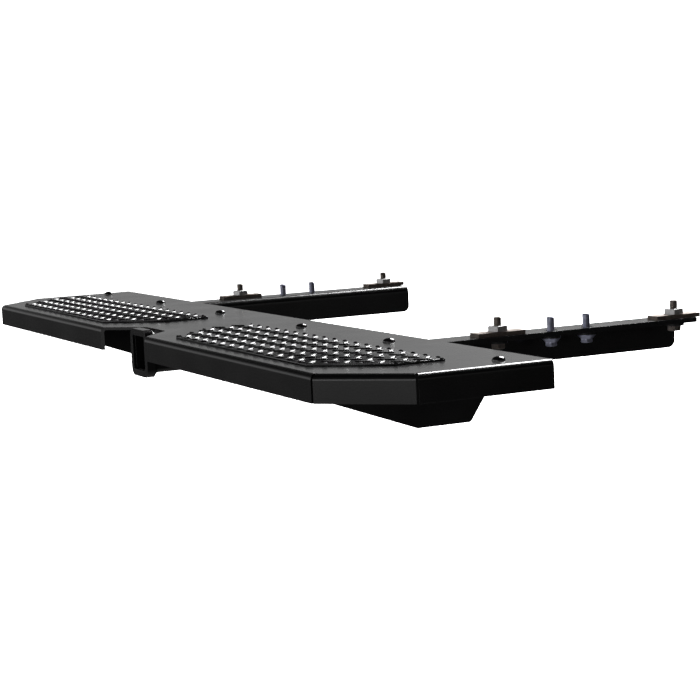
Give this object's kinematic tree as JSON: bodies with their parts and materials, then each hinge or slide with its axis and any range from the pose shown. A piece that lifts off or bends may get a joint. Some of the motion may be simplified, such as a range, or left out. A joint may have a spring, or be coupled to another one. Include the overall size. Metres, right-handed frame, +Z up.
{
  "type": "hitch receiver step",
  "caption": "Vehicle rear step: folded steel deck with patterned tread plates, a square hitch receiver in a centre notch, and angle arms that bolt up to the vehicle frame.",
  "frame": {"origin": "middle of the four studs, on the plane of the arms' top faces that bear on the vehicle frame", "axes": "+X to the right seen from behind the vehicle, +Y forwards to the vehicle, +Z up along the studs"},
  "size_m": [1.6, 0.723, 0.1495],
  "materials": {
    "black_powder_coat": "semi-gloss black powder coat",
    "black_tread": "semi-gloss black powder coat on raised pattern",
    "black_bolt": "gloss black",
    "zinc_nut": "clear zinc",
    "zinc_bolt": "blue zinc",
    "dark_steel": "dark oxide"
  },
  "bodies": {
    "root": {"deck": "black_powder_coat", "right_tread_plate": "black_tread", "left_tread_plate": "black_tread", "receiver_collar": "black_powder_coat", "receiver_tube": "black_powder_coat", "cross_tube": "black_powder_coat", "right_side_plate": "black_powder_coat", "left_side_plate": "black_powder_coat", "right_inner_rail": "black_powder_coat", "left_inner_rail": "black_powder_coat", "right_outer_rail": "black_powder_coat", "left_outer_rail": "black_powder_coat", "deck_bolts": "black_bolt", "square_nuts": "zinc_nut", "plate_bolts": "dark_steel", "left_rear_nut_plate": "dark_steel", "left_front_nut_plate": "dark_steel", "right_rear_nut_plate": "dark_steel", "right_front_nut_plate": "dark_steel", "flange_bolts": "zinc_bolt"}
  },
  "joints": []
}
